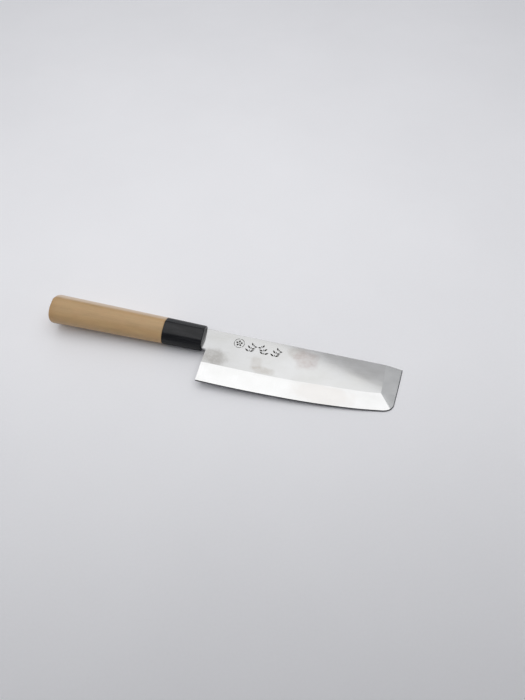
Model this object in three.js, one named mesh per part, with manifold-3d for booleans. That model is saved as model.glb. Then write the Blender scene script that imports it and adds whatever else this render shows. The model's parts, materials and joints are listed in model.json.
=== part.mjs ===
// A Japanese single-bevel knife with a square end: a straight-spined laminated blade with a hidden
// tang, set in a tapered wooden handle with one soft ridge along its front and a black collar.
//
// Units are millimetres. The origin is the centre of the handle's flat butt face. +X runs along the
// handle towards the blade's end, +Y towards the spine and +Z out of the bevelled front of the blade.

import * as THREE from 'three';
import Module from 'manifold-3d';
import { mergeVertices } from 'three/addons/utils/BufferGeometryUtils.js';

const wasm = await Module();
wasm.setup();

// ---------------------------------------------------------------- driving dimensions

// Handle, from the butt face to the collar's front face.
const HANDLE_LENGTH = 139;
const FERRULE_LENGTH = 35.4;
const HALF_WIDTH = 13.8;
const HALF_THICKNESS = 11.4;
const RIDGE_Y = 3.1;
const RIDGE_Z = 12.2;
const RIDGE_SOFTNESS = 1.6;
const JOINT_SCALE = 0.9;
const FRONT_SCALE = 0.85;
const BUTT_ROUND_LENGTH = 3.5;
const BUTT_ROUND_INSET = 0.095;
const RIM_ROUND_LENGTH = 1;
const RIM_ROUND_INSET = 0.07;
const JOINT_GAP = 0.15;

// Round tenon on the wood, and the collar's bore and front wall around it.
const TENON_RADIUS = 7.8;
const FERRULE_BORE_RADIUS = 8;
const FERRULE_WALL = 6;
const TENON_END_GAP = 0.3;

// Blade, in its own frame: x from the collar's front face, depth down from the line of the spine.
const SPINE_HEIGHT = 9.4;
const BACK_Z = -1.6;
const NECK_FRONT_Z = 1.6;
const TIP_FRONT_Z = 0.6;
const BLADE_LENGTH = 173.8;
const EDGE_LAND = 0.15;
const NECK_DEPTH = 19.3;
const NECK_INSIDE = 5.2;
const NECK_RELIEF = 0.2;
const NECK_RELIEF_END = 0.15;
const NOTCH_RADIUS = 1;
const HEEL_TOP = new THREE.Vector2(4.5, 20.2);
const HEEL_BOTTOM = new THREE.Vector2(3.2, 50.9);
const EDGE_BELLY = [[30, 51.3], [64, 51], [101, 49.7], [136, 46.8]];
const CORNER_START = new THREE.Vector2(160.5, 43.4);
const CORNER_POINT = new THREE.Vector2(167.8, 41.9);
const CORNER_END = new THREE.Vector2(169.3, 36.6);
const END_EDGE_BULGE = 0.2;
const BEVEL_START_DEPTH = 33.5;
const BEVEL_LINE_BELLY = [[34, 33.7], [76, 33.5], [116, 31.6], [144, 29.8]];
const BEVEL_CORNER = new THREE.Vector2(157.3, 28);
const EDGE_STEPS = 26;
const CORNER_STEPS = 6;
const END_STEPS = 8;
const SPINE_DIP_START = 154;
const SPINE_DIP = 0.9;
const END_BEVEL_TOP_X = 159.2;

// Lamination: the hard layer lies behind this plane and ends inside the collar's front wall.
const LAMINATION_Z = -0.5;
const HARD_LAYER_START = -1.7;
const LAYER_END_GAP = 0.3;

// Hollow ground into the back of the hard layer.
const HOLLOW_DEPTH = 0.25;
const HOLLOW_RIM = 4;
const HOLLOW_HEEL_RIM = 7;
const HOLLOW_NARROWING = 0.5;

// Tang, the hole it stands in, and the adhesive around it.
const TANG_END_X = -90;
const TANG_SHOULDER_X = -4.4;
const TANG_HALF_HEIGHT = 4.5;
const TANG_END_HALF_HEIGHT = 2.5;
const TANG_HALF_THICKNESS = 1.5;
const TANG_HOLE_END_X = 46;
const TANG_HOLE_HALF_HEIGHT = 5.8;
const TANG_HOLE_HALF_WIDTH = 2.8;
const FIT_GAP = 0.3;
const SLOT_GAP = 0.4;

// Where the blade's own frame sits in the handle's.
const bladeMatrix = new THREE.Matrix4().makeTranslation(HANDLE_LENGTH, 0, 0);

// ---------------------------------------------------------------- solids and meshes

function toSolid(geometry) {
  const bare = geometry.clone();
  bare.deleteAttribute('normal');
  bare.deleteAttribute('uv');
  const merged = mergeVertices(bare, 1e-4);
  return new wasm.Manifold(new wasm.Mesh({
    numProp: 3,
    vertProperties: new Float32Array(merged.attributes.position.array),
    triVerts: new Uint32Array(merged.index.array),
  }));
}

function toGeometry(solid) {
  const data = solid.getMesh();
  const geometry = new THREE.BufferGeometry();
  geometry.setAttribute('position', new THREE.BufferAttribute(new Float32Array(data.vertProperties), 3));
  geometry.setIndex(new THREE.BufferAttribute(new Uint32Array(data.triVerts), 1));
  return geometry;
}

function makeMesh(name, solid, color, roughness, metalness) {
  const geometry = toGeometry(solid);
  geometry.computeVertexNormals();
  const mesh = new THREE.Mesh(geometry, new THREE.MeshStandardMaterial({ color, roughness, metalness }));
  mesh.name = name;
  return mesh;
}

// A box given by its lowest and highest corners.
function block(low, high) {
  const size = new THREE.Vector3().subVectors(high, low);
  const centre = new THREE.Vector3().addVectors(low, high).multiplyScalar(0.5);
  return new THREE.BoxGeometry(size.x, size.y, size.z).translate(centre.x, centre.y, centre.z);
}

// An outline in the XY plane carried up +Z through a list of levels, and scaled at each.
function loft(outline, levels) {
  const steps = levels.length - 1;
  const options = { depth: 1, steps, bevelEnabled: false };
  const geometry = new THREE.ExtrudeGeometry(new THREE.Shape(outline), options);
  const position = geometry.attributes.position;
  for (let i = 0; i < position.count; i += 1) {
    const level = levels[Math.round(position.getZ(i) * steps)];
    position.setXYZ(i, position.getX(i) * level.scale, position.getY(i) * level.scale, level.at);
  }
  return geometry;
}

// The same along +X, for an outline given as (y, z).
function loftAlongX(outline, levels) {
  const turn = new THREE.Matrix4().makeBasis(
    new THREE.Vector3(0, 1, 0),
    new THREE.Vector3(0, 0, 1),
    new THREE.Vector3(1, 0, 0),
  );
  return loft(outline, levels).applyMatrix4(turn);
}

// ---------------------------------------------------------------- handle section and taper

// An oval joined by two tangent facets to a softened ridge.
function handleSection() {
  const across = RIDGE_Y / HALF_WIDTH;
  const up = RIDGE_Z / HALF_THICKNESS;
  const ridgeAngle = Math.atan2(up, across);
  const spread = Math.acos(1 / Math.hypot(across, up));
  const start = ridgeAngle + spread;
  const end = ridgeAngle - spread + 2 * Math.PI;
  const oval = new THREE.EllipseCurve(0, 0, HALF_WIDTH, HALF_THICKNESS, start, end).getPoints(44);
  const ridge = new THREE.Vector2(RIDGE_Y, RIDGE_Z);
  const towards = (point) => ridge.clone().add(point.clone().sub(ridge).setLength(RIDGE_SOFTNESS));
  const crest = new THREE.QuadraticBezierCurve(towards(oval.at(-1)), ridge, towards(oval[0])).getPoints(4);
  return [...oval, ...crest];
}

const FERRULE_START = HANDLE_LENGTH - FERRULE_LENGTH;

function taperScale(x) {
  if (x < FERRULE_START) {
    return THREE.MathUtils.lerp(1, JOINT_SCALE, x / FERRULE_START);
  }
  return THREE.MathUtils.lerp(JOINT_SCALE, FRONT_SCALE, (x - FERRULE_START) / FERRULE_LENGTH);
}

// Quarter-round drop in scale, from full at `length` from an end down to `1 - inset` at the end itself.
function roundedEnd(distance, length, inset) {
  const remaining = Math.max(0, 1 - distance / length);
  return 1 - inset * (1 - Math.sqrt(1 - remaining * remaining));
}

function spacedValues(from, to, count) {
  return Array.from({ length: count }, (_, i) => THREE.MathUtils.lerp(from, to, i / (count - 1)));
}

// Distances from a rounded end, closer together where the round is steepest.
function roundStations(length, count) {
  return Array.from({ length: count }, (_, i) => length * (1 - Math.cos((i / count) * Math.PI / 2)));
}

function cylinderAlongX(radius, from, to) {
  const geometry = new THREE.CylinderGeometry(radius, radius, to - from, 48);
  return geometry.rotateZ(-Math.PI / 2).translate((from + to) / 2, 0, 0);
}

// ---------------------------------------------------------------- handle, collar and adhesive

const SECTION = handleSection();
const TENON_END = HANDLE_LENGTH - FERRULE_WALL - TENON_END_GAP;

function woodSolid() {
  const xs = [
    ...roundStations(BUTT_ROUND_LENGTH, 6),
    ...spacedValues(BUTT_ROUND_LENGTH, FERRULE_START - JOINT_GAP, 8),
  ];
  const scaleAt = (x) => taperScale(x) * roundedEnd(x, BUTT_ROUND_LENGTH, BUTT_ROUND_INSET);
  const body = toSolid(loftAlongX(SECTION, xs.map((x) => ({ at: x, scale: scaleAt(x) }))));
  const tenon = toSolid(cylinderAlongX(TENON_RADIUS, FERRULE_START - 5, TENON_END));
  const hole = block(
    new THREE.Vector3(TANG_HOLE_END_X, -TANG_HOLE_HALF_HEIGHT, -TANG_HOLE_HALF_WIDTH),
    new THREE.Vector3(HANDLE_LENGTH, TANG_HOLE_HALF_HEIGHT, TANG_HOLE_HALF_WIDTH),
  );
  return body.add(tenon).subtract(toSolid(hole));
}

function ferruleSolid() {
  const rim = roundStations(RIM_ROUND_LENGTH, 4).map((distance) => HANDLE_LENGTH - distance).reverse();
  const xs = [...spacedValues(FERRULE_START, HANDLE_LENGTH - RIM_ROUND_LENGTH, 4), ...rim];
  const scaleAt = (x) => taperScale(x) * roundedEnd(HANDLE_LENGTH - x, RIM_ROUND_LENGTH, RIM_ROUND_INSET);
  const body = toSolid(loftAlongX(SECTION, xs.map((x) => ({ at: x, scale: scaleAt(x) }))));
  const bore = toSolid(cylinderAlongX(FERRULE_BORE_RADIUS, FERRULE_START - 1, HANDLE_LENGTH - FERRULE_WALL));
  const slot = block(
    new THREE.Vector3(-FERRULE_WALL - 1, SPINE_HEIGHT - NECK_DEPTH - SLOT_GAP, BACK_Z - SLOT_GAP),
    new THREE.Vector3(1, SPINE_HEIGHT + SLOT_GAP, NECK_FRONT_Z + SLOT_GAP),
  );
  return body.subtract(bore).subtract(toSolid(slot.applyMatrix4(bladeMatrix)));
}

function adhesiveSolid() {
  const halfHeight = TANG_HOLE_HALF_HEIGHT - FIT_GAP;
  const halfWidth = TANG_HOLE_HALF_WIDTH - FIT_GAP;
  const sleeve = block(
    new THREE.Vector3(TANG_HOLE_END_X + FIT_GAP, -halfHeight, -halfWidth),
    new THREE.Vector3(TENON_END - FIT_GAP, halfHeight, halfWidth),
  );
  const pocket = tangGeometry(FIT_GAP).applyMatrix4(bladeMatrix);
  return toSolid(sleeve).subtract(toSolid(pocket));
}

// ---------------------------------------------------------------- blade

const TIP = new THREE.Vector2(BLADE_LENGTH, SPINE_DIP);

function spineDepth(x) {
  const along = Math.max(0, (x - SPINE_DIP_START) / (BLADE_LENGTH - SPINE_DIP_START));
  return SPINE_DIP * along * along;
}

function frontZ(x) {
  return THREE.MathUtils.lerp(NECK_FRONT_Z, TIP_FRONT_Z, x / BLADE_LENGTH);
}

// A smooth line from start to end through a list of places between them.
function lineThrough(start, places, end) {
  return new THREE.SplineCurve([start, ...places.map(([x, depth]) => new THREE.Vector2(x, depth)), end]);
}

// The long cutting edge bellies slightly between the heel and the rounded corner.
function longEdge() {
  return lineThrough(HEEL_BOTTOM, EDGE_BELLY, CORNER_START);
}

function roundedCorner() {
  return new THREE.QuadraticBezierCurve(CORNER_START, CORNER_POINT, CORNER_END);
}

// A line from start to end, bowed at its middle by an offset.
function bowedLine(start, end, bow) {
  const middle = new THREE.Vector2().addVectors(start, end).multiplyScalar(0.5);
  return new THREE.QuadraticBezierCurve(start, middle.addScaledVector(bow, 2), end);
}

function endEdge() {
  return bowedLine(CORNER_END, TIP, new THREE.Vector2(END_EDGE_BULGE, 0));
}

function heelPoint(depth) {
  const along = (depth - HEEL_TOP.y) / (HEEL_BOTTOM.y - HEEL_TOP.y);
  return new THREE.Vector2().lerpVectors(HEEL_TOP, HEEL_BOTTOM, along);
}

// The ridge between the flat and the long bevel, then the line where the end bevel starts.
function bevelLine() {
  const long = lineThrough(heelPoint(BEVEL_START_DEPTH), BEVEL_LINE_BELLY, BEVEL_CORNER);
  const top = new THREE.Vector2(END_BEVEL_TOP_X, spineDepth(END_BEVEL_TOP_X));
  const end = new THREE.LineCurve(BEVEL_CORNER, top);
  return { long, end };
}

// Rounds the inner corner between the neck and the heel.
function notchCurve() {
  const above = new THREE.Vector2(HEEL_TOP.x - NOTCH_RADIUS, HEEL_TOP.y);
  return new THREE.QuadraticBezierCurve(above, HEEL_TOP, heelPoint(HEEL_TOP.y + NOTCH_RADIUS));
}

// The edge from heel to tip, and the bevel line that each of its points is ground back to.
// All the points round the corner share the bevel line's corner.
function edgeAndRidge() {
  const line = bevelLine();
  const edge = [
    ...longEdge().getSpacedPoints(EDGE_STEPS),
    ...roundedCorner().getPoints(CORNER_STEPS).slice(1),
    ...endEdge().getSpacedPoints(END_STEPS).slice(1),
  ];
  const ridge = [
    ...line.long.getSpacedPoints(EDGE_STEPS),
    ...Array(CORNER_STEPS).fill(BEVEL_CORNER),
    ...line.end.getSpacedPoints(END_STEPS).slice(1),
  ];
  return { edge, ridge };
}

// The spine from the end bevel back to the neck, and down round the notch to the heel.
function spineAndNeck() {
  const dip = spacedValues(END_BEVEL_TOP_X, SPINE_DIP_START, 5).slice(1);
  return [
    ...dip.map((x) => new THREE.Vector2(x, spineDepth(x))),
    new THREE.Vector2(-NECK_INSIDE, 0),
    new THREE.Vector2(-NECK_INSIDE, NECK_DEPTH),
    new THREE.Vector2(0, NECK_DEPTH),
    ...notchCurve().getPoints(4),
  ];
}

// The blade as one closed shell: a strip of bevel between the edge and the bevel line, the flat
// beyond it, the back plane, and a wall round the whole outline.
function bladeGeometry() {
  const { edge, ridge } = edgeAndRidge();
  const rest = spineAndNeck();
  const landZ = BACK_Z + EDGE_LAND;
  const corners = [];
  const place = (point, z) => new THREE.Vector3(point.x, SPINE_HEIGHT - point.y, z);
  const onFlat = (point) => place(point, frontZ(point.x));
  const triangle = (a, b, c) => {
    if (!a.equals(b) && !b.equals(c) && !c.equals(a)) {
      corners.push(a, b, c);
    }
  };
  const quad = (a, b, c, d) => {
    triangle(a, b, c);
    triangle(a, c, d);
  };

  for (let i = 0; i + 1 < edge.length; i += 1) {
    quad(place(edge[i], landZ), place(edge[i + 1], landZ), onFlat(ridge[i + 1]), onFlat(ridge[i]));
  }

  const flat = [...ridge.filter((point, i) => point !== ridge[i - 1]), ...rest];
  for (const [a, b, c] of THREE.ShapeUtils.triangulateShape(flat, [])) {
    triangle(onFlat(flat[a]), onFlat(flat[c]), onFlat(flat[b]));
  }

  const outline = [...edge, ridge.at(-1), ...rest, ridge[0]];
  const low = outline.map((point) => place(point, BACK_Z));
  const high = outline.map((point, i) => (i < edge.length ? place(point, landZ) : onFlat(point)));
  for (const [a, b, c] of THREE.ShapeUtils.triangulateShape(outline, [])) {
    triangle(low[a], low[b], low[c]);
  }
  for (let i = 0; i < outline.length; i += 1) {
    const next = (i + 1) % outline.length;
    quad(low[i], low[next], high[next], high[i]);
  }
  return new THREE.BufferGeometry().setFromPoints(corners);
}

// The tang narrows towards its end; `gap` grows it on every side but its mouth.
function tangGeometry(gap) {
  const outline = new THREE.Shape([
    new THREE.Vector2(TANG_END_X - gap, -TANG_END_HALF_HEIGHT - gap),
    new THREE.Vector2(TANG_SHOULDER_X, -TANG_HALF_HEIGHT - gap),
    new THREE.Vector2(TANG_SHOULDER_X, TANG_HALF_HEIGHT + gap),
    new THREE.Vector2(TANG_END_X - gap, TANG_END_HALF_HEIGHT + gap),
  ]);
  const halfThickness = TANG_HALF_THICKNESS + gap;
  const geometry = new THREE.ExtrudeGeometry(outline, { depth: 2 * halfThickness, bevelEnabled: false });
  return geometry.translate(0, 0, -halfThickness);
}

// A shallow dish that follows the blade's outline and leaves a flat rim all round.
function hollowGeometry() {
  const startX = HOLLOW_HEEL_RIM + 2 * HOLLOW_RIM;
  const bottom = longEdge().getSpacedPoints(16).filter((point) => point.x > startX);
  const last = bottom.at(-1);
  const outline = [
    new THREE.Vector2(startX, 1.5 * HOLLOW_RIM),
    new THREE.Vector2(HOLLOW_HEEL_RIM, 3.5 * HOLLOW_RIM),
    new THREE.Vector2(HOLLOW_HEEL_RIM, HEEL_BOTTOM.y - 3 * HOLLOW_RIM),
    ...bottom.map((point) => new THREE.Vector2(point.x, point.y - HOLLOW_RIM)),
    new THREE.Vector2(last.x + 0.7 * HOLLOW_RIM, last.y - 2.5 * HOLLOW_RIM),
    new THREE.Vector2(BLADE_LENGTH - 1.5 * HOLLOW_RIM, 3.5 * HOLLOW_RIM),
    new THREE.Vector2(BLADE_LENGTH - 3 * HOLLOW_RIM, 1.7 * HOLLOW_RIM),
  ];
  const centre = new THREE.Vector2(BLADE_LENGTH / 2, SPINE_HEIGHT - HEEL_BOTTOM.y / 2);
  const centred = outline.map((point) => new THREE.Vector2(point.x, SPINE_HEIGHT - point.y).sub(centre));
  const slope = spacedValues(0, 1, 7).map((inward) => ({
    at: BACK_Z + HOLLOW_DEPTH * (1 - (1 - inward) ** 2),
    scale: 1 - HOLLOW_NARROWING * inward,
  }));
  return loft(centred, [{ at: BACK_Z - 1, scale: 1 }, ...slope]).translate(centre.x, centre.y, 0);
}

// The neck is a little thinner from the collar's mouth inwards.
function neckRelief(reach) {
  return toSolid(block(
    new THREE.Vector3(-NECK_INSIDE - 1, -reach, NECK_FRONT_Z - NECK_RELIEF),
    new THREE.Vector3(NECK_RELIEF_END, reach, reach),
  ));
}

function bladeSolids() {
  const reach = 400;
  const blade = toSolid(bladeGeometry()).subtract(neckRelief(reach));
  const behind = (startX) => toSolid(block(
    new THREE.Vector3(startX, -reach, BACK_Z - 1),
    new THREE.Vector3(reach, reach, LAMINATION_Z),
  ));
  const hard = blade.intersect(behind(HARD_LAYER_START)).subtract(toSolid(hollowGeometry()));
  const soft = blade.add(toSolid(tangGeometry(0))).subtract(behind(HARD_LAYER_START - LAYER_END_GAP));
  return { hard, soft };
}

// ---------------------------------------------------------------- assembly

const knife = new THREE.Group();
knife.add(makeMesh('handle_wood', woodSolid(), 0xcdae84, 0.62, 0));
knife.add(makeMesh('ferrule', ferruleSolid(), 0x161719, 0.22, 0));
knife.add(makeMesh('tang_adhesive', adhesiveSolid(), 0xb98a4a, 0.45, 0));

const { hard, soft } = bladeSolids();
const blade = new THREE.Group();
blade.position.set(HANDLE_LENGTH, 0, 0);
blade.add(makeMesh('blade_cladding', soft, 0xc3c4c6, 0.34, 1));
blade.add(makeMesh('blade_edge_steel', hard, 0xd9dadc, 0.22, 1));
knife.add(blade);

export default knife;
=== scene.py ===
# Looks of a square-ended, single-bevel kitchen knife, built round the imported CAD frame: a pale wooden
# handle, a black collar and a laminated blade, lying front face up on a pale table.
#
# Lengths in this file are millimetres and are turned into metres when a mesh becomes an object.
# Handle frame: the origin is the centre of the butt, +X runs to the blade's end, +Y to the spine.
# Blade frame: x from the collar's front face, and depth down from the line of the spine.

import json
import math

import bmesh
import bpy
import numpy as np
from mathutils import Matrix, Vector

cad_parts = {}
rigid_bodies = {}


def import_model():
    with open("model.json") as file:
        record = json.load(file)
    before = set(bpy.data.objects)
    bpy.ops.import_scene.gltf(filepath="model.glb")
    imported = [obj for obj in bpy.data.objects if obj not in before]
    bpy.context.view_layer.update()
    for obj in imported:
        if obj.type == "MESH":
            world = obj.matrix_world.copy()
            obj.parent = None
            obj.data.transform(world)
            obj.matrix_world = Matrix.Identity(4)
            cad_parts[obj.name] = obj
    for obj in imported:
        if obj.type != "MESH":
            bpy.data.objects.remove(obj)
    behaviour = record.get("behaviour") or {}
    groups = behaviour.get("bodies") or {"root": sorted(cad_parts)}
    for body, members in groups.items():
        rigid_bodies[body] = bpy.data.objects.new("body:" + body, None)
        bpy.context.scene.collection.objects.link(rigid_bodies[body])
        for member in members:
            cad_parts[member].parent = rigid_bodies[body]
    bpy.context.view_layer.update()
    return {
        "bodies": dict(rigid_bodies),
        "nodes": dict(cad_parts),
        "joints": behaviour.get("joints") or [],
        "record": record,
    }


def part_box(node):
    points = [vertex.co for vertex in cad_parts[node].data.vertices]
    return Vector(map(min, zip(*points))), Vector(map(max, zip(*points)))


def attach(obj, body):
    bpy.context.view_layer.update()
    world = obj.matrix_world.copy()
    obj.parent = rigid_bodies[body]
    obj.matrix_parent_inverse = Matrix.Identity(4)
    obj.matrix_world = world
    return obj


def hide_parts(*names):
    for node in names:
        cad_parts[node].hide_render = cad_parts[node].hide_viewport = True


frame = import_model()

METRES = 0.001

# ---------------------------------------------------------------- driving dimensions

# Handle and collar, repeated from the CAD, apart from the eases beside the joint. The lengths along X
# come from the frame's boxes.
HALF_WIDTH = 13.8
HALF_THICKNESS = 11.4
RIDGE_Y = 3.1
RIDGE_Z = 12.2
RIDGE_SOFTNESS = 1.6
JOINT_SCALE = 0.9
FRONT_SCALE = 0.85
BUTT_ROUND_LENGTH = 3.5
BUTT_ROUND_INSET = 0.095
RIM_ROUND_LENGTH = 1.0
RIM_ROUND_INSET = 0.07
JOINT_GAP = 0.15
JOINT_EASE_LENGTH = 0.45
JOINT_EASE_INSET = 0.022
TENON_RADIUS = 7.8
BORE_RADIUS = 8.0
COLLAR_WALL = 6.0
TANG_HOLE_START = 46.0
TANG_HOLE_HALF_HEIGHT = 5.8
TANG_HOLE_HALF_WIDTH = 2.8

# Blade, repeated from the CAD.
SPINE_HEIGHT = 9.4
BACK_Z = -1.6
NECK_FRONT_Z = 1.6
TIP_FRONT_Z = 0.6
BLADE_LENGTH = 173.8
EDGE_LAND = 0.15
NECK_DEPTH = 19.3
NECK_INSIDE = 5.2
NOTCH_RADIUS = 1.0
HEEL_TOP = (4.5, 20.2)
HEEL_BOTTOM = (3.2, 50.9)
EDGE_BELLY = ((30.0, 51.3), (64.0, 51.0), (101.0, 49.7), (136.0, 46.8))
CORNER_START = (160.5, 43.4)
CORNER_POINT = (167.8, 41.9)
CORNER_END = (169.3, 36.6)
END_EDGE_BULGE = 0.2
BEVEL_START_DEPTH = 33.5
BEVEL_LINE_BELLY = ((34.0, 33.7), (76.0, 33.5), (116.0, 31.6), (144.0, 29.8))
BEVEL_CORNER = (157.3, 28.0)
SPINE_DIP_START = 154.0
SPINE_DIP = 0.9
END_BEVEL_TOP_X = 159.2
LAMINATION_Z = -0.5
HARD_LAYER_START = -1.7
LAYER_END_GAP = 0.3
HOLLOW_DEPTH = 0.25
HOLLOW_RIM = 4.0
HOLLOW_HEEL_RIM = 7.0
HOLLOW_NARROWING = 0.5
TANG_END_X = -90.0
TANG_SHOULDER_X = -4.4
TANG_HALF_HEIGHT = 4.5
TANG_END_HALF_HEIGHT = 2.5
TANG_HALF_THICKNESS = 1.5
SLOT_GAP = 0.4

# Fine work that only the looks have: eased edges, the narrow band along the edge and the ornament.
EASED_EDGE = 0.25
EDGE_BAND_WIDTH = 0.7
EDGE_BAND_RISE = 0.5
ENGRAVING_DEPTH = 0.08
BLOSSOM_CENTRE = (31.3, 1.3)
BLOSSOM_SIZE = 4.7
PETALS = 5
SPRIGS = ((42.3, 1), (53.2, -1), (64.6, 1))
SPRIG_Y = -1.0
SPRIG_SIZE = 5.0
LEAF_ROWS = 3

# Mesh fineness.
OVAL_STEPS = 100
CREST_STEPS = 12
HANDLE_STATIONS = 30
ROUND_STATIONS = 14
EDGE_STEPS = 96
CORNER_STEPS = 16
END_STEPS = 24
BEVEL_ROWS = 4
HOLLOW_LEVELS = 14
HOLLOW_EDGE_STEPS = 16
HOLLOW_CORNER_STEPS = 6
SPLINE_STEPS = 24
DIP_STEPS = 8
NOTCH_STEPS = 8
LEAF_STEPS = 8
ARC_STEPS = 14
DOT_STEPS = 16
JOINT_EASE_STATIONS = 4

# Meshes are joined up within this, and shaded smooth up to this angle between faces.
MERGE_DISTANCE = 1e-5
CREASE_ANGLE = math.radians(24)
# Larger than the knife, for blocks that hold a whole half of it.
BEYOND = 400.0


# ---------------------------------------------------------------- curves

def quadratic(start, middle, end, steps):
    """Points along a quadratic curve, both ends included."""
    start, middle, end = (np.array(point, float) for point in (start, middle, end))
    return [
        (1 - t) ** 2 * start + 2 * t * (1 - t) * middle + t * t * end
        for t in np.linspace(0, 1, steps + 1)
    ]


def spline(points, steps_each):
    """A uniform Catmull-Rom curve through the points, with its end points doubled."""
    points = [np.array(point, float) for point in points]
    last = len(points) - 1
    curve = []
    for i in range(last):
        before, start, end, after = (points[min(max(k, 0), last)] for k in range(i - 1, i + 3))
        leave = (end - before) / 2
        arrive = (after - start) / 2
        for t in np.arange(steps_each) / steps_each:
            cubic = (2 * start - 2 * end + leave + arrive) * t ** 3
            square = (-3 * start + 3 * end - 2 * leave - arrive) * t ** 2
            curve.append(cubic + square + leave * t + start)
    return curve + [points[last]]


def evenly(points, steps):
    """The same line, cut into equal steps along its length."""
    points = np.array(points, float)
    lengths = np.linalg.norm(np.diff(points, axis=0), axis=1)
    travelled = np.concatenate(([0], np.cumsum(lengths)))
    wanted = np.linspace(0, travelled[-1], steps + 1)
    return list(np.column_stack([np.interp(wanted, travelled, column) for column in points.T]))


def rounded_outline(corners, radius, steps):
    """A closed outline with each corner turned into a short curve."""
    corners = [np.array(corner, float) for corner in corners]
    outline = []
    for i, corner in enumerate(corners):
        ends = []
        for neighbour in (corners[i - 1], corners[(i + 1) % len(corners)]):
            away = neighbour - corner
            length = np.linalg.norm(away)
            ends.append(corner + away / length * min(radius, 0.45 * length))
        outline += quadratic(ends[0], corner, ends[1], steps)
    return outline


# ---------------------------------------------------------------- meshes and objects

def ring_solid(rings, material=0):
    """A closed solid from rings of equally many points, with a flat cap on each end."""
    mesh = bmesh.new()
    loops = [[mesh.verts.new(point) for point in ring] for ring in rings]
    for near, far in zip(loops, loops[1:]):
        for k in range(len(near)):
            following = (k + 1) % len(near)
            mesh.faces.new((near[k], near[following], far[following], far[k]))
    mesh.faces.new(loops[0])
    mesh.faces.new(loops[-1])
    for face in mesh.faces:
        face.material_index = material
    bmesh.ops.recalc_face_normals(mesh, faces=mesh.faces)
    return mesh


def box_solid(low, high, material=0):
    corners = ((low[1], low[2]), (high[1], low[2]), (high[1], high[2]), (low[1], high[2]))
    return ring_solid([[(x, y, z) for y, z in corners] for x in (low[0], high[0])], material)


def new_object(name, mesh, materials=()):
    data = bpy.data.meshes.new(name)
    mesh.to_mesh(data)
    mesh.free()
    for material in materials:
        data.materials.append(material)
    made = bpy.data.objects.new(name, data)
    bpy.context.scene.collection.objects.link(made)
    return made


def combine(piece, tool, operation, tool_crosses_itself=False):
    """Joins, cuts or intersects a piece with a tool solid, which is used up."""
    modifier = piece.modifiers.new(operation, "BOOLEAN")
    modifier.operation = operation
    modifier.solver = "EXACT"
    modifier.use_self = tool_crosses_itself
    modifier.object = tool
    graph = bpy.context.evaluated_depsgraph_get()
    result = bpy.data.meshes.new_from_object(piece.evaluated_get(graph))
    piece.modifiers.clear()
    piece.data = result
    bpy.data.objects.remove(tool)


def finish_piece(piece, node, place=Matrix.Identity(4)):
    """Shades a piece smooth up to its creases, places it in metres and rides it on its body."""
    mesh = bmesh.new()
    mesh.from_mesh(piece.data)
    bmesh.ops.remove_doubles(mesh, verts=mesh.verts, dist=MERGE_DISTANCE)
    for face in mesh.faces:
        face.smooth = True
    for edge in mesh.edges:
        faces = edge.link_faces
        two_finishes = len({face.material_index for face in faces}) > 1
        edge.smooth = not two_finishes and edge.calc_face_angle(0) < CREASE_ANGLE
    mesh.to_mesh(piece.data)
    mesh.free()
    piece.data.transform(place @ Matrix.Scale(METRES, 4))
    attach(piece, "root")
    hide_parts(node)


# ---------------------------------------------------------------- node graphs

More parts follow.
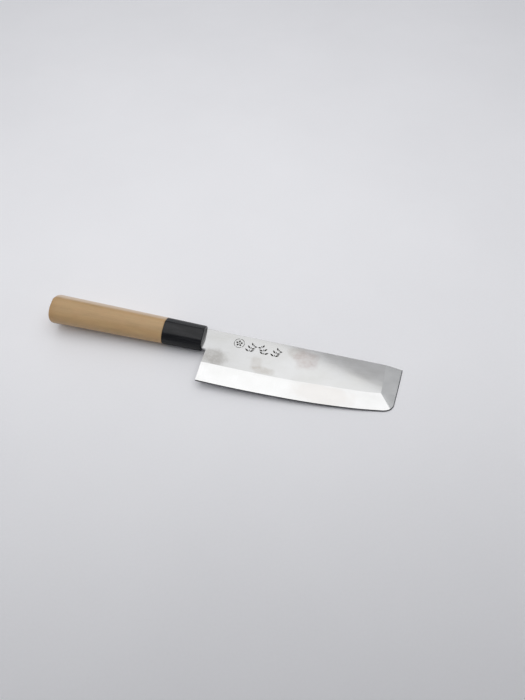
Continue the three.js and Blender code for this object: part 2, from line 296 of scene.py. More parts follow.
class Graph:
    """Adds nodes to one node tree. Each call gives back an output socket."""

    def __init__(self, tree):
        self.tree = tree

    def put(self, socket, value):
        if isinstance(value, bpy.types.NodeSocket):
            self.tree.links.new(value, socket)
        else:
            socket.default_value = value

    def add(self, kind, inputs, output=0, **settings):
        node = self.tree.nodes.new(kind)
        for name, value in settings.items():
            setattr(node, name, value)
        for key, value in inputs.items():
            self.put(node.inputs[key], value)
        return node.outputs[output]

    def math(self, operation, first, second=0.0):
        return self.add("ShaderNodeMath", {0: first, 1: second}, operation=operation)

    def multiply(self, first, second):
        return self.math("MULTIPLY", first, second)

    def plus(self, first, second):
        return self.math("ADD", first, second)

    def vector(self, operation, first, second):
        return self.add("ShaderNodeVectorMath", {0: first, 1: second}, operation=operation)

    def stretch(self, vector, scales):
        return self.vector("MULTIPLY", vector, scales)

    def place(self, frame=Matrix.Identity(4)):
        """The point on the surface, in millimetres in a frame that is given in the row's."""
        own = self.add("ShaderNodeTexCoord", {}, output="Object")
        to_frame = frame.inverted()
        inputs = {"Vector": own, "Location": to_frame.translation, "Rotation": to_frame.to_euler()}
        return self.stretch(self.add("ShaderNodeMapping", inputs), (1 / METRES,) * 3)

    def parts(self, vector):
        node = self.tree.nodes.new("ShaderNodeSeparateXYZ")
        self.put(node.inputs[0], vector)
        return node.outputs

    def noise(self, vector, scale, detail=3.0, roughness=0.5, distortion=0.0):
        inputs = {
            "Vector": vector, "Scale": scale, "Detail": detail,
            "Roughness": roughness, "Distortion": distortion,
        }
        return self.add("ShaderNodeTexNoise", inputs)

    def remap(self, value, low, high, new_low=0.0, new_high=1.0, smooth=False):
        kind = "SMOOTHSTEP" if smooth else "LINEAR"
        inputs = {0: value, 1: low, 2: high, 3: new_low, 4: new_high}
        return self.add("ShaderNodeMapRange", inputs, interpolation_type=kind)

    def mix(self, share, first, second, blend="MIX"):
        """Colours blended by a share, as (r, g, b) or sockets."""
        inputs = {0: share}
        for key, value in ((6, first), (7, second)):
            inputs[key] = (*value, 1) if isinstance(value, tuple) else value
        return self.add("ShaderNodeMix", inputs, output=2, data_type="RGBA", blend_type=blend)

    def tint(self, colour, amount):
        """A colour made darker or lighter by a factor that varies over the surface."""
        grey = self.add("ShaderNodeCombineXYZ", {0: amount, 1: amount, 2: amount})
        return self.mix(1.0, colour, grey, blend="MULTIPLY")

    def bump(self, height, strength, distance):
        inputs = {"Height": height, "Strength": strength, "Distance": distance}
        return self.add("ShaderNodeBump", inputs)

    def spot(self, place, centre, radii, ragged, softness=0.35):
        """1 inside a soft-edged oval round a point of the XY plane, and 0 outside it."""
        offset = self.vector("SUBTRACT", place, (*centre, 0))
        scaled = self.stretch(offset, (1 / radii[0], 1 / radii[1], 0))
        node = self.tree.nodes.new("ShaderNodeVectorMath")
        node.operation = "LENGTH"
        self.put(node.inputs[0], scaled)
        distance = self.plus(node.outputs["Value"], ragged)
        return self.remap(distance, 1 + softness, 1 - softness, smooth=True)


def new_material(name, **constants):
    """A material with one Principled shader, whose constant values are set on its own sockets."""
    material = bpy.data.materials.new(name)
    material.use_nodes = True
    shader = material.node_tree.nodes["Principled BSDF"]
    for key, value in constants.items():
        shader.inputs[key.replace("_", " ")].default_value = value
    return material, Graph(material.node_tree), shader


# ---------------------------------------------------------------- materials

WOOD_DARK = (0.433, 0.278, 0.126)
WOOD_LIGHT = (0.574, 0.384, 0.188)
WOOD_MOTTLE = (0.53, 0.336, 0.163)
WOOD_PORE = (0.22, 0.14, 0.075)
WOOD_OILED = (0.45, 0.253, 0.101)
# Painted sheen, for the spine side of the handle:
WOOD_PAINTED_SHEEN = (0.72, 0.60, 0.48)
# Painted shade, for the low side of the handle:
WOOD_PAINTED_SHADE = (0.08, 0.05, 0.03)


def wood_material():
    """Pale straight-grained wood: oiled towards the butt, paler towards the spine as a painted sheen,
    and darker low down as painted shade.
    """
    material, graph, shader = new_material("magnolia_wood")
    place = graph.place()
    x, y, z = graph.parts(place)

    wander = graph.noise(graph.stretch(place, (0.01, 0.08, 0.08)), 1.0, detail=2)
    across = graph.plus(graph.multiply(y, 0.55), graph.multiply(z, 0.3))
    phase = graph.plus(across, graph.multiply(wander, 9.0))
    rings = graph.remap(graph.math("SINE", phase), -1, 1)
    streaks = graph.noise(graph.stretch(place, (0.012, 0.7, 0.7)), 1.0, detail=5, roughness=0.6)
    fibres = graph.noise(graph.stretch(place, (0.09, 5.0, 5.0)), 1.0, detail=3)
    pores = graph.noise(graph.stretch(place, (0.45, 7.0, 7.0)), 1.0, detail=2)
    mottle = graph.noise(graph.stretch(place, (0.07, 0.16, 0.16)), 1.0, detail=4)

    tone = graph.plus(graph.multiply(rings, 0.3), graph.multiply(streaks, 0.7))
    colour = graph.mix(graph.remap(tone, 0.25, 0.75), WOOD_DARK, WOOD_LIGHT)
    colour = graph.mix(graph.remap(mottle, 0.35, 0.7), colour, WOOD_MOTTLE)
    colour = graph.tint(colour, graph.remap(fibres, 0.3, 0.7, 0.93, 1.05))
    colour = graph.mix(graph.remap(pores, 0.62, 0.72, 0, 0.35), colour, WOOD_PORE)

    facing = graph.parts(graph.add("ShaderNodeTexCoord", {}, output="Normal"))[0]
    end_grain = graph.remap(graph.math("ABSOLUTE", facing), 0.45, 0.85, smooth=True)
    handled = graph.remap(graph.plus(x, graph.multiply(mottle, 6.0)), 12, 2, 0, 0.35, smooth=True)
    oiled = graph.math("MAXIMUM", handled, graph.multiply(end_grain, 0.75))
    colour = graph.mix(oiled, colour, WOOD_OILED)

    # Painted sheen: a paler band along the spine side stands in for light glancing off the top of the
    # handle.
    painted_sheen = graph.remap(graph.plus(y, graph.multiply(streaks, 4.0)), 6.0, 10.8, 0, 0.8, smooth=True)
    colour = graph.mix(painted_sheen, colour, WOOD_PAINTED_SHEEN)
    # Painted shade: a dark band along the low side stands in for the shadow under the handle.
    low_side = graph.multiply(graph.remap(y, -6.5, -9.0), graph.remap(z, -1.2, -3.2))
    painted_shade_band = graph.multiply(low_side, graph.remap(z, -9.5, -7.0))
    colour = graph.mix(graph.multiply(painted_shade_band, 0.85), colour, WOOD_PAINTED_SHADE)
    graph.put(shader.inputs["Base Color"], colour)

    roughness = graph.remap(streaks, 0.3, 0.7, 0.36, 0.5)
    graph.put(shader.inputs["Roughness"], roughness)
    surface = graph.plus(graph.multiply(fibres, 0.6), graph.multiply(pores, -0.8))
    graph.put(shader.inputs["Normal"], graph.bump(surface, 0.35, 0.00008))
    return material


def collar_material():
    """Polished black collar with fine scratches and a haze, duller towards the spine and the back."""
    material, graph, shader = new_material("black_collar", IOR=1.5, Specular_IOR_Level=0.3)
    place = graph.place()
    haze = graph.noise(place, 0.12, detail=4)
    polish = graph.noise(graph.stretch(place, (0.15, 3.5, 3.5)), 1.0, detail=3)
    scratches = graph.noise(graph.stretch(place, (6.0, 0.5, 0.5)), 1.0, detail=4, distortion=0.6)
    smears = graph.noise(graph.stretch(place, (0.05, 0.55, 0.55)), 1.0, detail=4, roughness=0.6)
    colour = graph.mix(graph.remap(smears, 0.42, 0.66), (0.0015, 0.002, 0.0035), (0.014, 0.0142, 0.016))
    graph.put(shader.inputs["Base Color"], colour)
    shine = graph.plus(graph.multiply(haze, 0.2), graph.remap(scratches, 0.6, 0.75, 0.0, 0.15))
    _, y, z = graph.parts(place)
    dulled = graph.plus(graph.remap(y, 5.0, 9.0, 0.0, 0.18), graph.remap(z, 1.0, -3.0, 0.0, 0.32))
    graph.put(shader.inputs["Roughness"], graph.plus(graph.plus(shine, dulled), 0.1))
    graph.put(shader.inputs["Specular IOR Level"], graph.remap(z, 4.0, -2.0, 0.3, 0.06))
    graph.put(shader.inputs["Normal"], graph.bump(polish, 0.3, 0.00006))
    return material


def adhesive_material():
    material, graph, shader = new_material("amber_adhesive", IOR=1.54)
    place = graph.place()
    cloud = graph.noise(place, 0.25, detail=4)
    colour = graph.mix(graph.remap(cloud, 0.3, 0.7), (0.34, 0.17, 0.05), (0.52, 0.31, 0.12))
    graph.put(shader.inputs["Base Color"], colour)
    graph.put(shader.inputs["Roughness"], graph.remap(cloud, 0.3, 0.7, 0.3, 0.5))
    bubbles = graph.noise(place, 1.6, detail=2)
    graph.put(shader.inputs["Normal"], graph.bump(bubbles, 0.3, 0.0002))
    return material


def steel_material(name, dull, bright, roughness, lines, line_depth=0.1, marks=None):
    """Ground steel: cloudy tone between two greys, fine grinding lines and optional marks.

    `lines` stretches the grinding noise: small numbers run along the lines and large ones across."""
    material, graph, shader = new_material(name, Metallic=1.0)
    place = graph.place(BLADE_PLACE)
    cloud = graph.noise(graph.stretch(place, (0.035, 0.06, 0.06)), 1.0, detail=5, roughness=0.55)
    grinding = graph.noise(graph.stretch(place, lines), 1.0, detail=4)
    specks = graph.noise(place, 1.1, detail=2)
    colour = graph.mix(graph.remap(cloud, 0.35, 0.65), dull, bright)
    colour = graph.tint(colour, graph.remap(grinding, 0.3, 0.7, 0.97, 1.03))
    colour = graph.tint(colour, graph.remap(specks, 0.68, 0.78, 1.0, 0.86))
    if marks is not None:
        colour = marks(graph, place, colour)
    graph.put(shader.inputs["Base Color"], colour)
    cloudy = graph.remap(cloud, 0.3, 0.7, -0.03, 0.03)
    ground = graph.remap(grinding, 0.3, 0.7, -0.02, 0.02)
    graph.put(shader.inputs["Roughness"], graph.plus(graph.plus(cloudy, ground), roughness))
    graph.put(shader.inputs["Normal"], graph.bump(grinding, line_depth, 0.00002))
    return material


# Water stains on the front flat: centre and radii in the blade's x and y, and how strong each is.
GREY_STAIN = (0.275, 0.268, 0.252)
WARM_STAIN = (0.33, 0.305, 0.275)
PINK_STAIN = (0.37, 0.325, 0.31)
STAINS = (
    ((13.0, -17.0), (11.5, 8.2), 0.8, GREY_STAIN),
    ((15.5, -20.0), (4.5, 6.0), 0.6, GREY_STAIN),
    ((50.0, -14.5), (5.0, 5.5), 0.35, WARM_STAIN),
    ((57.0, -20.5), (9.0, 3.5), 0.5, WARM_STAIN),
    ((82.0, 3.0), (7.0, 6.0), 0.4, WARM_STAIN),
    ((91.5, -1.5), (10.0, 9.5), 0.6, PINK_STAIN),
)


def flat_marks(graph, place, colour):
    """A little darker towards the heel, with dried water stains."""
    x = graph.parts(place)[0]
    colour = graph.tint(colour, graph.remap(x, 5.0, 95.0, 0.93, 1.07, smooth=True))
    ragged = graph.multiply(graph.plus(graph.noise(place, 0.13, detail=5), -0.5), 1.1)
    patchy = graph.remap(graph.noise(place, 0.3, detail=5, roughness=0.65), 0.3, 0.6, 0.45, 1.0)
    for centre, radii, strength, stain in STAINS:
        inside = graph.spot(place, centre, radii, ragged)
        colour = graph.mix(graph.multiply(graph.multiply(inside, patchy), strength), colour, stain)
    return colour


def warm_patch(graph, place, colour):
    """Faint rust bloom on the long bevel, which is darker towards the end and beside the flat."""
    x, y, _ = graph.parts(place)
    colour = graph.tint(colour, graph.remap(x, 55.0, 95.0, 1.0, 0.965, smooth=True))
    colour = graph.tint(colour, graph.remap(y, -27.0, -24.2, 1.0, 0.965))
    ragged = graph.multiply(graph.plus(graph.noise(place, 0.15, detail=4), -0.5), 0.9)
    share = graph.multiply(graph.spot(place, (110.0, -30.5), (25.0, 9.0), ragged), 0.4)
    return graph.mix(share, colour, (0.525, 0.493, 0.465))


FLAT, LONG_BEVEL, END_BEVEL, EDGE_BAND, WALL, BACK, HOLLOW, ENGRAVED, INSIDE = range(9)


def blade_materials():
    """In the order of the finish numbers above."""
    along = (0.04, 7.0, 1.0)
    across = (7.0, 0.08, 0.4)
    flat = steel_material(
        "front_flat", (0.45, 0.45, 0.44), (0.49, 0.492, 0.49), 0.1, along, 0.04, flat_marks,
    )
    long_bevel = steel_material(
        "long_bevel", (0.60, 0.60, 0.59), (0.645, 0.645, 0.64), 0.13, across, 0.05, warm_patch,
    )
    end_bevel = steel_material("end_bevel", (0.505, 0.51, 0.505), (0.565, 0.57, 0.565), 0.17, along, 0.1)
    # The narrow band along the edge is a real small bevel; its very dark steel colour is painted shade,
    # standing in for the shadow under the blade's edge.
    edge_band_painted_shade = steel_material("edge_band_painted_shade", (0.1, 0.1, 0.105), (0.16, 0.16, 0.17), 0.2, along, 0.1)
    wall = steel_material("spine_and_heel", (0.5, 0.5, 0.5), (0.62, 0.62, 0.62), 0.3, along, 0.2)
    back = steel_material("back_rim", (0.6, 0.605, 0.61), (0.7, 0.705, 0.71), 0.14, along, 0.08)
    hollow = steel_material("back_hollow", (0.46, 0.465, 0.47), (0.56, 0.565, 0.57), 0.26, along, 0.3)
    engraved = steel_material("engraving", (0.03, 0.028, 0.026), (0.06, 0.056, 0.05), 0.55, along, 0.3)
    inside = steel_material("forged_scale", (0.06, 0.055, 0.05), (0.14, 0.13, 0.12), 0.6, across, 0.5)
    return [flat, long_bevel, end_bevel, edge_band_painted_shade, wall, back, hollow, engraved, inside]


def floor_material():
    material, graph, shader = new_material("pale_table", IOR=1.45)
    place = graph.place()
    cloud = graph.noise(place, 0.006, detail=5, roughness=0.6)
    grain = graph.noise(place, 0.5, detail=3)
    colour = graph.mix(graph.remap(cloud, 0.35, 0.65), (0.93, 0.93, 0.945), (0.955, 0.955, 0.97))
    colour = graph.tint(colour, graph.remap(grain, 0.3, 0.7, 0.992, 1.008))
    graph.put(shader.inputs["Base Color"], colour)
    graph.put(shader.inputs["Roughness"], graph.remap(cloud, 0.3, 0.7, 0.62, 0.75))
    shader.inputs["Specular IOR Level"].default_value = 0.2
    return material


# ---------------------------------------------------------------- handle and collar

def section_ring():
    """(y, z) round the handle: an oval joined by two tangent facets to a softened ridge."""
    across = RIDGE_Y / HALF_WIDTH
    up = RIDGE_Z / HALF_THICKNESS
    ridge_angle = math.atan2(up, across)
    spread = math.acos(1 / math.hypot(across, up))
    angles = np.linspace(ridge_angle + spread, ridge_angle - spread + 2 * math.pi, OVAL_STEPS + 1)
    oval = [np.array((HALF_WIDTH * math.cos(a), HALF_THICKNESS * math.sin(a))) for a in angles]
    ridge = np.array((RIDGE_Y, RIDGE_Z))

    def towards(point):
        away = point - ridge
        return ridge + away / np.linalg.norm(away) * RIDGE_SOFTNESS

    return oval + quadratic(towards(oval[-1]), ridge, towards(oval[0]), CREST_STEPS)


def fitted_section():
    """The section, made to fill the CAD handle's box exactly."""
    ring = np.array(section_ring())
    low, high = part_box("handle_wood")
    low = np.array(low[1:]) / METRES
    high = np.array(high[1:]) / METRES
    share = (ring - ring.min(axis=0)) / (ring.max(axis=0) - ring.min(axis=0))
    return low + share * (high - low)


SECTION = fitted_section()
SECTION_ANGLES = np.arctan2(SECTION[:, 1], SECTION[:, 0])
COLLAR_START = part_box("ferrule")[0].x / METRES
HANDLE_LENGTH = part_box("ferrule")[1].x / METRES
COLLAR_LENGTH = HANDLE_LENGTH - COLLAR_START
BLADE_PLACE = Matrix.Translation((HANDLE_LENGTH * METRES, 0, 0))


def taper(x):
    if x < COLLAR_START:
        return 1 + (JOINT_SCALE - 1) * x / COLLAR_START
    return JOINT_SCALE + (FRONT_SCALE - JOINT_SCALE) * (x - COLLAR_START) / COLLAR_LENGTH


def rounded_end(distance, length, inset):
    """Scale near a rounded end: 1 from `length` onwards, and 1 - inset at the end itself."""
    remaining = max(0.0, 1 - distance / length)
    return 1 - inset * (1 - math.sqrt(1 - remaining * remaining))


def round_stations(length, count):
    """Distances from a rounded end, closer together where the round is steepest."""
    return [length * (1 - math.cos(i / count * math.pi / 2)) for i in range(count)]


def section_at(x, scale):
    return [(x, y * scale, z * scale) for y, z in SECTION]


def circle_at(x, radius):
    """A circle whose points lie at the same angles as the section's."""
    return [(x, radius * math.cos(a), radius * math.sin(a)) for a in SECTION_ANGLES]


def rectangle_at(x, half_height, half_width):
    """A rectangle whose points lie at the section's angles, with one point on each corner."""
    ring = []
    for a in SECTION_ANGLES:
        reach = min(half_height / max(abs(math.cos(a)), 1e-9), half_width / max(abs(math.sin(a)), 1e-9))
        ring.append((x, reach * math.cos(a), reach * math.sin(a)))
    for corner_y in (-half_height, half_height):
        for corner_z in (-half_width, half_width):
            nearest = min(range(len(ring)), key=lambda k: math.dist(ring[k][1:], (corner_y, corner_z)))
            ring[nearest] = (x, corner_y, corner_z)
    return ring


def make_handle():
    """Wood with a rounded butt, and a tenon with the tang's hole inside the collar."""
    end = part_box("handle_wood")[1].x / METRES
    shoulder = COLLAR_START - JOINT_GAP
    stations = round_stations(BUTT_ROUND_LENGTH, ROUND_STATIONS)
    stations += list(np.linspace(BUTT_ROUND_LENGTH, shoulder - JOINT_EASE_LENGTH, HANDLE_STATIONS))
    ease = round_stations(JOINT_EASE_LENGTH, JOINT_EASE_STATIONS)
    stations += [shoulder - distance for distance in reversed(ease)]
    rings = []
    for x in stations:
        scale = taper(x) * rounded_end(x, BUTT_ROUND_LENGTH, BUTT_ROUND_INSET)
        scale *= rounded_end(shoulder - x, JOINT_EASE_LENGTH, JOINT_EASE_INSET)
        rings.append(section_at(x, scale))
    rings.append(circle_at(shoulder, TENON_RADIUS))
    rings.append(circle_at(end, TENON_RADIUS))
    rings.append(rectangle_at(end, TANG_HOLE_HALF_HEIGHT, TANG_HOLE_HALF_WIDTH))
    rings.append(rectangle_at(TANG_HOLE_START, TANG_HOLE_HALF_HEIGHT, TANG_HOLE_HALF_WIDTH))
    piece = new_object("handle", ring_solid(rings), [wood_material()])
    finish_piece(piece, "handle_wood")


def make_collar():
    """Black collar: rounded front rim, eased back rim, bore for the tenon and slot for the neck."""
    ease = round_stations(JOINT_EASE_LENGTH, JOINT_EASE_STATIONS)
    stations = [COLLAR_START + distance for distance in ease]
    body_end = HANDLE_LENGTH - RIM_ROUND_LENGTH
    stations += list(np.linspace(COLLAR_START + JOINT_EASE_LENGTH, body_end, HANDLE_STATIONS))
    rim = round_stations(RIM_ROUND_LENGTH, ROUND_STATIONS)
    stations += [HANDLE_LENGTH - distance for distance in reversed(rim)]
    rings = []
    for x in stations:
        scale = taper(x) * rounded_end(HANDLE_LENGTH - x, RIM_ROUND_LENGTH, RIM_ROUND_INSET)
        scale *= rounded_end(x - COLLAR_START, JOINT_EASE_LENGTH, JOINT_EASE_INSET)
        rings.append(section_at(x, scale))
    piece = new_object("collar", ring_solid(rings), [collar_material()])
    bore = [circle_at(x, BORE_RADIUS) for x in (COLLAR_START - 1, HANDLE_LENGTH - COLLAR_WALL)]
    combine(piece, new_object("bore", ring_solid(bore)), "DIFFERENCE")
    slot = new_object("slot", box_solid(
        (-COLLAR_WALL - 1, SPINE_HEIGHT - NECK_DEPTH - SLOT_GAP, BACK_Z - SLOT_GAP),
        (1, SPINE_HEIGHT + SLOT_GAP, NECK_FRONT_Z + SLOT_GAP),
    ))
    slot.data.transform(Matrix.Translation((HANDLE_LENGTH, 0, 0)))
    combine(piece, slot, "DIFFERENCE")
    finish_piece(piece, "ferrule")


# ---------------------------------------------------------------- blade outline

def spine_depth(x):
    along = max(0.0, (x - SPINE_DIP_START) / (BLADE_LENGTH - SPINE_DIP_START))
    return SPINE_DIP * along * along


def front_z(x):
    return NECK_FRONT_Z + (TIP_FRONT_Z - NECK_FRONT_Z) * x / BLADE_LENGTH


def heel_point(depth):
    along = (depth - HEEL_TOP[1]) / (HEEL_BOTTOM[1] - HEEL_TOP[1])
    return np.array((HEEL_TOP[0] + (HEEL_BOTTOM[0] - HEEL_TOP[0]) * along, depth))


def bowed(start, end, bow, steps):
    """A line bowed at its middle by an offset, cut into equal steps."""
    middle = (np.array(start) + np.array(end)) / 2 + 2 * np.array(bow)
    return evenly(quadratic(start, middle, end, 4 * steps), steps)


def long_edge(steps):
    return evenly(spline((HEEL_BOTTOM, *EDGE_BELLY, CORNER_START), SPLINE_STEPS), steps)


def spine_and_neck():
    """From the end bevel's top back along the spine, down the neck and round the notch to the heel."""
    stations = np.linspace(END_BEVEL_TOP_X, SPINE_DIP_START, DIP_STEPS + 1)
    dip = [(x, spine_depth(x)) for x in stations[1:]]
    above = (HEEL_TOP[0] - NOTCH_RADIUS, HEEL_TOP[1])
    notch = quadratic(above, HEEL_TOP, heel_point(HEEL_TOP[1] + NOTCH_RADIUS), NOTCH_STEPS)
    return [*dip, (-NECK_INSIDE, 0.0), (-NECK_INSIDE, NECK_DEPTH), (0.0, NECK_DEPTH), *notch]


class Shell:
    """A closed mesh built face by face, with points that coincide shared."""

    def __init__(self):
        self.mesh = bmesh.new()
        self.seen = {}

    def vertex(self, point):
        x, depth, z = point
        key = tuple(round(float(value), 4) for value in point)
        if key not in self.seen:
            self.seen[key] = self.mesh.verts.new((x, SPINE_HEIGHT - depth, z))
        return self.seen[key]

    def face(self, points, finish):
        corners = list(dict.fromkeys(self.vertex(point) for point in points))
        if len(corners) > 2:
            self.mesh.faces.new(corners).material_index = finish


def corner_height(point, apex_z, land_z):
    """Height of the two flat bevels where they meet round the corner, and which of them is lower."""
    heights = []
    for start, towards in ((CORNER_START, CORNER_POINT), (CORNER_END, CORNER_POINT)):
        start = np.array(start)
        along = np.array(towards) - start
        along = along / np.linalg.norm(along)

        def away(place):
            offset = np.array(place) - start
            return abs(along[0] * offset[1] - along[1] * offset[0])

        heights.append(land_z + (apex_z - land_z) * away(point) / away(BEVEL_CORNER))
    return min(heights), END_BEVEL if heights[1] < heights[0] else LONG_BEVEL


def blade_shell():
    """The whole blade without its tang: bevels, flat, back and walls."""
    land_z = BACK_Z + EDGE_LAND
    apex_z = front_z(BEVEL_CORNER[0])
    edge = [(*point, land_z) for point in long_edge(EDGE_STEPS)]
    finishes = [LONG_BEVEL] * EDGE_STEPS
    for point in quadratic(CORNER_START, CORNER_POINT, CORNER_END, CORNER_STEPS)[1:]:
        height, finish = corner_height(point, apex_z, land_z)
        edge.append((*point, height))
        finishes.append(finish)
    tip = (BLADE_LENGTH, SPINE_DIP)
    edge += [(*point, land_z) for point in bowed(CORNER_END, tip, (END_EDGE_BULGE, 0), END_STEPS)[1:]]
    finishes += [END_BEVEL] * END_STEPS

    bevel_line = (heel_point(BEVEL_START_DEPTH), *BEVEL_LINE_BELLY, BEVEL_CORNER)
    ridge = evenly(spline(bevel_line, SPLINE_STEPS), EDGE_STEPS)
    ridge += [np.array(BEVEL_CORNER)] * CORNER_STEPS
    top = (END_BEVEL_TOP_X, spine_depth(END_BEVEL_TOP_X))
    ridge += evenly((BEVEL_CORNER, top), END_STEPS)[1:]
    ridge = [(*point, front_z(point[0])) for point in ridge]

    edge, ridge = np.array(edge), np.array(ridge)
    inward = ridge - edge
    inward[:, 2] = 0
    band = edge + inward / np.linalg.norm(inward, axis=1)[:, None] * EDGE_BAND_WIDTH
    band[:, 2] += EDGE_BAND_RISE
    rows = [edge] + [band + (ridge - band) * share for share in np.linspace(0, 1, BEVEL_ROWS + 1)]
    shell = Shell()
    for k, (lower, upper) in enumerate(zip(rows, rows[1:])):
        for i, finish in enumerate(finishes):
            shell.face((lower[i], lower[i + 1], upper[i + 1], upper[i]), finish if k else EDGE_BAND)

    rest = [(*point, front_z(point[0])) for point in spine_and_neck()]
    shell.face([*ridge, *rest], FLAT)

    end_side = [row[-1] for row in rows[1:]]
    heel_side = [row[0] for row in reversed(rows[1:])]
    high = [*edge, *end_side, *rest, *heel_side]
    low = [(x, depth, BACK_Z) for x, depth, _ in high]
    shell.face(low[::-1], BACK)
    for i in range(len(high)):
        following = (i + 1) % len(high)
        finish = EDGE_BAND if i < len(finishes) else WALL
        shell.face((low[i], low[following], high[following], high[i]), finish)
    bmesh.ops.recalc_face_normals(shell.mesh, faces=shell.mesh.faces)
    ease_edges(shell.mesh)
    return shell.mesh


def ease_edges(mesh):
    """Takes the sharpness off the spine, neck and heel, as on any finished knife."""
    eased = [
        edge for edge in mesh.edges
        if {face.material_index for face in edge.link_faces} in ({WALL, FLAT}, {WALL, BACK})
    ]
    bmesh.ops.bevel(
        mesh, geom=eased, offset=EASED_EDGE, segments=2, profile=0.5, affect="EDGES",
        clamp_overlap=True, material=WALL,
    )


def tang_solid():
    """The tang narrows towards its end."""
    rings = []
    for x, half_height in ((TANG_END_X, TANG_END_HALF_HEIGHT), (TANG_SHOULDER_X, TANG_HALF_HEIGHT)):
        corners = ((-1, -1), (1, -1), (1, 1), (-1, 1))
        rings.append([(x, half_height * y, TANG_HALF_THICKNESS * z) for y, z in corners])
    return ring_solid(rings, INSIDE)


def hollow_solid():
    """A shallow dish that follows the blade's outline and leaves a flat rim all round."""
    start_x = HOLLOW_HEEL_RIM + 2 * HOLLOW_RIM
    bottom = [point for point in long_edge(HOLLOW_EDGE_STEPS) if point[0] > start_x]
    last_x, last_depth = bottom[-1]
    corners = [
        (start_x, 1.5 * HOLLOW_RIM),
        (HOLLOW_HEEL_RIM, 3.5 * HOLLOW_RIM),
        (HOLLOW_HEEL_RIM, HEEL_BOTTOM[1] - 3 * HOLLOW_RIM),
        *((x, depth - HOLLOW_RIM) for x, depth in bottom),
        (last_x + 0.7 * HOLLOW_RIM, last_depth - 2.5 * HOLLOW_RIM),
        (BLADE_LENGTH - 1.5 * HOLLOW_RIM, 3.5 * HOLLOW_RIM),
        (BLADE_LENGTH - 3 * HOLLOW_RIM, 1.7 * HOLLOW_RIM),
    ]
    outline = np.array(rounded_outline(corners, 1.5 * HOLLOW_RIM, HOLLOW_CORNER_STEPS))
    centre = np.array((BLADE_LENGTH / 2, HEEL_BOTTOM[1] / 2))
    levels = [(1.0, BACK_Z - 1)]
    for inward in np.linspace(0, 1, HOLLOW_LEVELS):
        levels.append((1 - HOLLOW_NARROWING * inward, BACK_Z + HOLLOW_DEPTH * (1 - (1 - inward) ** 2)))
    rings = []
    for scale, z in levels:
        scaled = centre + (outline - centre) * scale
        rings.append([(x, SPINE_HEIGHT - depth, z) for x, depth in scaled])
    return ring_solid(rings, HOLLOW)


# ---------------------------------------------------------------- engraved ornament

def leaf(base, angle, length, width):
    """A pointed leaf that starts at a point and grows at an angle."""
    shares = np.linspace(0, 1, LEAF_STEPS + 1)
    side = [(t * length, width / 2 * math.sin(math.pi * t ** 0.8)) for t in shares]
    outline = side + [(u, -v) for u, v in reversed(side[1:-1])]
    c, s = math.cos(angle), math.sin(angle)
    return [(base[0] + u * c - v * s, base[1] + u * s + v * c) for u, v in outline]


def dot(centre, radius):
    turns = np.linspace(0, 2 * math.pi, DOT_STEPS + 1)[:-1]
    return [(centre[0] + radius * math.cos(a), centre[1] + radius * math.sin(a)) for a in turns]


def arc_band(centre, radius, width, start, end):
    """A thin stroke along an arc."""
    turns = np.linspace(start, end, ARC_STEPS + 1)
    outline = []
    for reach, angles in ((radius + width / 2, turns), (radius - width / 2, turns[::-1])):
        outline += [(centre[0] + math.cos(a) * reach, centre[1] + math.sin(a) * reach) for a in angles]
    return outline


def blossom(centre, size):
    """A five-petalled flower inside a ring of five short arcs."""
    shapes = [dot(centre, 0.1 * size)]
    for k in range(PETALS):
        angle = math.pi / 2 + k * 2 * math.pi / PETALS
        foot = (centre[0] + 0.2 * size * math.cos(angle), centre[1] + 0.2 * size * math.sin(angle))
        shapes.append(leaf(foot, angle, 0.5 * size, 0.36 * size))
        half = math.pi / PETALS - 0.09
        middle = angle + math.pi / PETALS
        shapes.append(arc_band(centre, 0.95 * size, 0.1 * size, middle - half, middle + half))
    return shapes


def sprig(centre, size, lean):
    """A bent stem with three pairs of leaves and one at its tip."""
    shapes = []
    bend = 0.3 * lean
    for k in range(LEAF_ROWS):
        rise = (0.62 * k - 0.85) * size
        turn = math.pi / 2 - bend * k
        node = (centre[0] + 0.12 * lean * size * k * k - 0.2 * lean * size, centre[1] + rise)
        shapes.append(leaf((node[0], node[1] + 0.04 * size), turn, 0.5 * size, 0.14 * size))
        for side in (-1, 1):
            angle = turn - side * 0.98
            start = (node[0] + 0.17 * size * math.cos(angle), node[1] + 0.17 * size * math.sin(angle))
            shapes.append(leaf(start, angle, (0.8 - 0.1 * k) * size, 0.3 * size))
    return shapes


def ornament_solid():
    """Shallow pockets in the flat: a ringed blossom and three leaf sprigs in a row."""
    shapes = blossom(BLOSSOM_CENTRE, BLOSSOM_SIZE)
    for x, lean in SPRIGS:
        shapes += sprig((x, SPRIG_Y), SPRIG_SIZE, lean)
    mesh = bmesh.new()
    for shape in shapes:
        rings = []
        for lift in (-ENGRAVING_DEPTH, 1.0):
            rings.append([mesh.verts.new((u, v, front_z(u) + lift)) for u, v in shape])
        for k in range(len(shape)):
            following = (k + 1) % len(shape)
            mesh.faces.new((rings[0][k], rings[0][following], rings[1][following], rings[1][k]))
        mesh.faces.new(rings[0])
        mesh.faces.new(rings[1])
    for face in mesh.faces:
        face.material_index = ENGRAVED
    bmesh.ops.recalc_face_normals(mesh, faces=mesh.faces)
    return mesh


# ---------------------------------------------------------------- blade pieces

def behind(start_x, materials):
    """A block that holds all of the blade behind the lamination plane."""
    block = box_solid((start_x, -BEYOND, BACK_Z - 1), (BEYOND, BEYOND, LAMINATION_Z), INSIDE)
    return new_object("behind", block, materials)


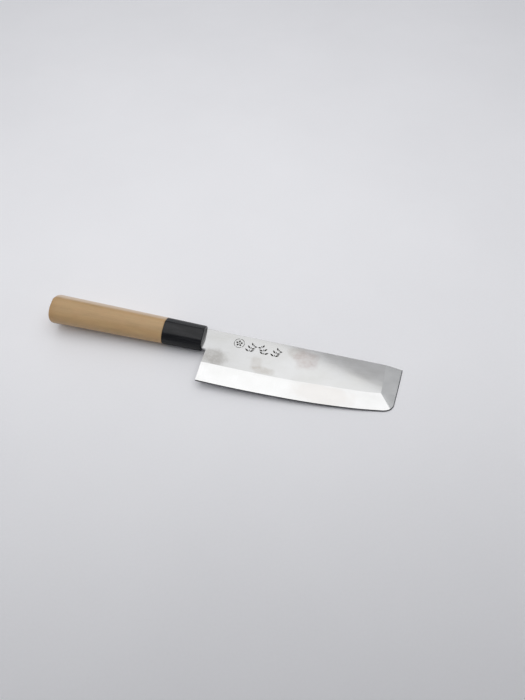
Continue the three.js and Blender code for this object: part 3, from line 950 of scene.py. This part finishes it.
def make_blade():
    materials = blade_materials()

    hard = new_object("blade_back_layer", blade_shell(), materials)
    combine(hard, behind(HARD_LAYER_START, materials), "INTERSECT")
    combine(hard, new_object("dish", hollow_solid(), materials), "DIFFERENCE")
    finish_piece(hard, "blade_edge_steel", place=BLADE_PLACE)

    soft = new_object("blade_front_layer", blade_shell(), materials)
    combine(soft, new_object("tang", tang_solid(), materials), "UNION")
    combine(soft, behind(HARD_LAYER_START - LAYER_END_GAP, materials), "DIFFERENCE")
    ornament = new_object("ornament", ornament_solid(), materials)
    combine(soft, ornament, "DIFFERENCE", tool_crosses_itself=True)
    finish_piece(soft, "blade_cladding", place=BLADE_PLACE)


def dress_adhesive():
    node = frame["nodes"]["tang_adhesive"]
    node.data.materials.clear()
    node.data.materials.append(adhesive_material())


# ---------------------------------------------------------------- table, camera and light

# The table frame: z up from the table top, +Y away from the viewer, origin where the camera looks.
CAMERA_DISTANCE = 465.8
CAMERA_ELEVATION = math.radians(58)
CAMERA_ROLL = math.radians(-2)
FOCAL_SHARE = 526 / 700
SENSOR = 36.0
KNIFE_HEADING = math.radians(-14.1)
COLLAR_FRONT = (-50.64, 8.08)

LIGHT_HEIGHT = 600.0
LIGHT_TURN = math.radians(-27.3)
LIGHT_SIDES = (-460.0, 320.0)
LIGHT_ENDS = (-382.0, 372.0)
LIGHT_RADIANCE = 0.83
ROOM_COLOUR = (0.33, 0.334, 0.355)
CEILING_HEIGHT = 1500.0
CEILING_SHIFT = (-200.0, 1000.0)
CEILING_SIDE = 3600.0
CEILING_RADIANCE = 0.40
# A dark board above the near side of the table: half width, its two edges across, and height.
BOARD_HALF_WIDTH = 450.0
BOARD_REACH = (-220.0, -700.0)
BOARD_HEIGHT = 400.0
BACKDROP_COLOUR = (0.74, 0.745, 0.78)
FLOOR_HALF_SIDE = 3000.0
NEAR_CLIP = 0.01


def table_frame():
    """Where the table frame sits in the row frame: the knife rests on its collar and its end."""
    collar_low = -HALF_THICKNESS * taper(HANDLE_LENGTH - RIM_ROUND_LENGTH)
    rise = BACK_Z - collar_low
    run = BLADE_LENGTH + RIM_ROUND_LENGTH
    tilt = math.atan2(rise, run)
    turn = Matrix.Rotation(KNIFE_HEADING, 4, "Z") @ Matrix.Rotation(tilt, 4, "Y")
    collar_front = turn @ Vector((HANDLE_LENGTH, 0, 0))
    tip = turn @ Vector((HANDLE_LENGTH + BLADE_LENGTH, 0, BACK_Z))
    shift = (COLLAR_FRONT[0] - collar_front.x, COLLAR_FRONT[1] - collar_front.y, -tip.z)
    lift = Matrix.Translation(shift)
    to_table = lift @ turn
    to_table.translation *= METRES
    return to_table.inverted()


def add_floor(table):
    mesh = bmesh.new()
    half = FLOOR_HALF_SIDE * METRES
    corners = ((-half, -half), (half, -half), (half, half), (-half, half))
    mesh.faces.new([mesh.verts.new((x, y, 0)) for x, y in corners])
    floor = new_object("table_top", mesh, [floor_material()])
    floor.matrix_world = table


def add_camera(table):
    data = bpy.data.cameras.new("camera")
    data.sensor_width = SENSOR
    data.lens = SENSOR * FOCAL_SHARE
    data.clip_start = NEAR_CLIP
    camera = bpy.data.objects.new("camera", data)
    bpy.context.scene.collection.objects.link(camera)
    back = Vector((0, -math.cos(CAMERA_ELEVATION), math.sin(CAMERA_ELEVATION)))
    level = Vector((1, 0, 0))
    upright = back.cross(level)
    right = math.cos(CAMERA_ROLL) * level + math.sin(CAMERA_ROLL) * upright
    up = back.cross(right)
    turn = Matrix((right, up, back)).transposed().to_4x4()
    camera.matrix_world = table @ Matrix.Translation(back * CAMERA_DISTANCE * METRES) @ turn
    bpy.context.scene.camera = camera


def add_light(name, place, width, depth, radiance):
    """A soft rectangular light that faces down from a place, unseen by the camera."""
    data = bpy.data.lights.new(name, "AREA")
    data.shape = "RECTANGLE"
    data.size = width * METRES
    data.size_y = depth * METRES
    data.energy = radiance * math.pi * data.size * data.size_y
    light = bpy.data.objects.new(name, data)
    bpy.context.scene.collection.objects.link(light)
    light.matrix_world = place
    light.visible_camera = False


def add_lights(table):
    """One wide soft light above the knife, whose edges show in the flat, and a dimmer ceiling."""
    centre = Vector((sum(LIGHT_SIDES) / 2, sum(LIGHT_ENDS) / 2, LIGHT_HEIGHT)) * METRES
    place = table @ Matrix.Rotation(LIGHT_TURN, 4, "Z") @ Matrix.Translation(centre)
    width = LIGHT_SIDES[1] - LIGHT_SIDES[0]
    depth = LIGHT_ENDS[1] - LIGHT_ENDS[0]
    add_light("overhead", place, width, depth, LIGHT_RADIANCE)
    above = table @ Matrix.Translation(Vector((*CEILING_SHIFT, CEILING_HEIGHT)) * METRES)
    add_light("ceiling", above, CEILING_SIDE, CEILING_SIDE, CEILING_RADIANCE)


def add_board(table):
    """Shades the near part of the table, as someone leaning over it would, and shows nowhere else."""
    material, graph, shader = new_material("dark_board", Roughness=0.9)
    weave = graph.noise(graph.place(), 0.8, detail=2)
    graph.put(shader.inputs["Base Color"], graph.mix(weave, (0.06, 0.06, 0.065), (0.1, 0.1, 0.105)))
    mesh = bmesh.new()
    corners = [(side * BOARD_HALF_WIDTH, reach) for reach in BOARD_REACH for side in (-1, 1)]
    order = (corners[0], corners[1], corners[3], corners[2])
    mesh.faces.new([mesh.verts.new((x * METRES, y * METRES, BOARD_HEIGHT * METRES)) for x, y in order])
    board = new_object("dark_board", mesh, [material])
    board.matrix_world = table
    board.visible_camera = False
    board.visible_glossy = False


def add_room():
    """An even pale room, with a plain backdrop behind the table."""
    world = bpy.data.worlds.new("room")
    bpy.context.scene.world = world
    world.use_nodes = True
    graph = Graph(world.node_tree)
    background = world.node_tree.nodes["Background"]
    seen = graph.add("ShaderNodeLightPath", {}, output="Is Camera Ray")
    graph.put(background.inputs["Color"], graph.mix(seen, ROOM_COLOUR, BACKDROP_COLOUR))


def main():
    make_handle()
    make_collar()
    make_blade()
    dress_adhesive()
    table = table_frame()
    add_floor(table)
    add_camera(table)
    add_lights(table)
    add_room()
    add_board(table)
    bpy.context.scene.view_settings.view_transform = "Standard"


main()
